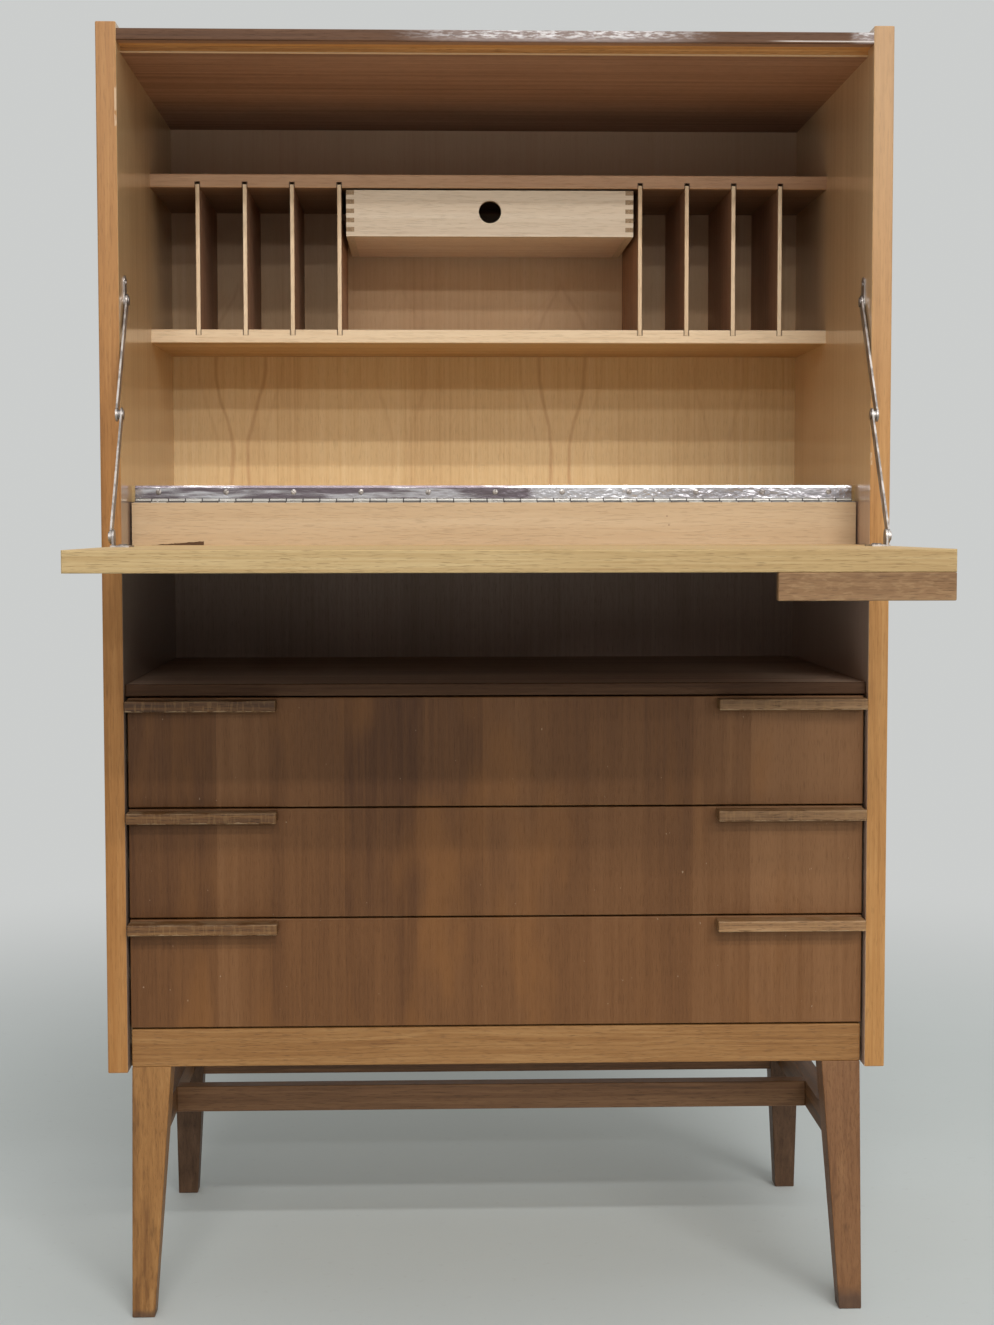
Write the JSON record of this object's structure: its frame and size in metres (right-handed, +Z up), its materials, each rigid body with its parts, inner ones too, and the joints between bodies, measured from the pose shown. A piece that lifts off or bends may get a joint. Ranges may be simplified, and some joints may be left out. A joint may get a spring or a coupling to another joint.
{
  "type": "fall-front escritoire",
  "caption": "Fall-front writing cabinet on splayed legs: hinged flap on folding stays, pigeonhole gallery with a hanging drawer, open niche and inset long drawers.",
  "frame": {"origin": "on the floor, in the middle of the width and of the depth taken up with the flap open", "axes": "+Z up, +X to the right seen from the front, +Y from the front to the back"},
  "size_m": [0.76, 0.803, 1.2477],
  "materials": {
    "carcass_teak": "golden brown teak veneer and lipping, satin lacquer",
    "dark_teak": "dark brown teak veneer with an upright stripe, satin lacquer",
    "pale_oak": "pale oak veneer, satin lacquer",
    "pale_maple": "pale solid wood with finger-jointed corners",
    "inner_wood": "plain unstained softwood and plywood inside",
    "plated_steel": "nickel-plated steel, worn bright"
  },
  "bodies": {
    "carcass": {"apron": "carcass_teak", "back_panel": "pale_oak", "bottom_panel": "pale_oak", "carcass_screws": "plated_steel", "desk_floor": "pale_oak", "drawer_runners": "inner_wood", "dust_panel": "dark_teak", "front_left_leg": "carcass_teak", "front_right_leg": "carcass_teak", "hinge_pin": "plated_steel", "hinge_upper_leaf": "plated_steel", "left_bearer": "inner_wood", "left_dividers": "pale_oak", "left_side_panel": "carcass_teak", "left_side_stretcher": "carcass_teak", "left_stay_plate": "plated_steel", "long_stretcher": "carcass_teak", "lower_shelf": "pale_oak", "rear_left_leg": "carcass_teak", "rear_right_leg": "carcass_teak", "rear_stretcher": "carcass_teak", "right_bearer": "inner_wood", "right_dividers": "pale_oak", "right_side_panel": "carcass_teak", "right_side_stretcher": "carcass_teak", "right_stay_plate": "plated_steel", "stationery_runners": "inner_wood", "top_panel": "carcass_teak", "upper_shelf": "pale_oak"},
    "flap": {"flap_lipping": "pale_oak", "flap_panel": "pale_oak", "flap_pull": "dark_teak", "flap_riser": "pale_oak", "flap_screws": "plated_steel", "hinge_lower_leaf": "plated_steel", "left_stay_bracket": "plated_steel", "right_stay_bracket": "plated_steel"},
    "left_stay_lower": {"left_stay_lower_arm": "plated_steel"},
    "left_stay_upper": {"left_stay_upper_arm": "plated_steel"},
    "lower_drawer": {"lower_drawer_back": "inner_wood", "lower_drawer_bottom": "inner_wood", "lower_drawer_front": "dark_teak", "lower_drawer_pulls": "dark_teak", "lower_drawer_sides": "inner_wood"},
    "middle_drawer": {"middle_drawer_back": "inner_wood", "middle_drawer_bottom": "inner_wood", "middle_drawer_front": "dark_teak", "middle_drawer_pulls": "dark_teak", "middle_drawer_sides": "inner_wood"},
    "right_stay_lower": {"right_stay_lower_arm": "plated_steel"},
    "right_stay_upper": {"right_stay_upper_arm": "plated_steel"},
    "stationery_drawer": {"stationery_drawer_back": "pale_maple", "stationery_drawer_bottom": "pale_maple", "stationery_drawer_front": "pale_maple", "stationery_drawer_sides": "pale_maple"},
    "upper_drawer": {"upper_drawer_back": "inner_wood", "upper_drawer_bottom": "inner_wood", "upper_drawer_front": "dark_teak", "upper_drawer_pulls": "dark_teak", "upper_drawer_sides": "inner_wood"}
  },
  "joints": [
    {"name": "flap_hinge", "type": "hinge", "parent": "carcass", "child": "flap", "pos_m": [0, 0.02925, 0.7969], "axis": [-1, 0, 0], "range_deg": [0, 90]},
    {"name": "left_stay_anchor", "type": "hinge", "parent": "carcass", "child": "left_stay_upper", "pos_m": [-0.3578, -0.00545, 0.9897], "axis": [1, 0, 0], "range_deg": [0, 135]},
    {"name": "left_stay_foot", "type": "hinge", "parent": "flap", "child": "left_stay_lower", "pos_m": [-0.3531, -0.16355, 0.7622], "axis": [1, 0, 0], "range_deg": [0, 45]},
    {"name": "right_stay_anchor", "type": "hinge", "parent": "carcass", "child": "right_stay_upper", "pos_m": [0.3578, -0.00545, 0.9897], "axis": [1, 0, 0], "range_deg": [0, 135]},
    {"name": "right_stay_foot", "type": "hinge", "parent": "flap", "child": "right_stay_lower", "pos_m": [0.3531, -0.16355, 0.7622], "axis": [1, 0, 0], "range_deg": [0, 45]},
    {"name": "lower_drawer_slide", "type": "slide", "parent": "carcass", "child": "lower_drawer", "axis": [0, -1, 0], "range_m": [0, 0.3]},
    {"name": "middle_drawer_slide", "type": "slide", "parent": "carcass", "child": "middle_drawer", "axis": [0, -1, 0], "range_m": [0, 0.3]},
    {"name": "upper_drawer_slide", "type": "slide", "parent": "carcass", "child": "upper_drawer", "axis": [0, -1, 0], "range_m": [0, 0.3]},
    {"name": "stationery_drawer_slide", "type": "slide", "parent": "carcass", "child": "stationery_drawer", "axis": [0, -1, 0], "range_m": [0, 0.14]}
  ],
  "couplings": [
    {"joint": "left_stay_anchor", "follows": "flap_hinge", "ratio": 1.5},
    {"joint": "left_stay_foot", "follows": "flap_hinge", "ratio": 0.5},
    {"joint": "right_stay_anchor", "follows": "flap_hinge", "ratio": 1.5},
    {"joint": "right_stay_foot", "follows": "flap_hinge", "ratio": 0.5}
  ]
}
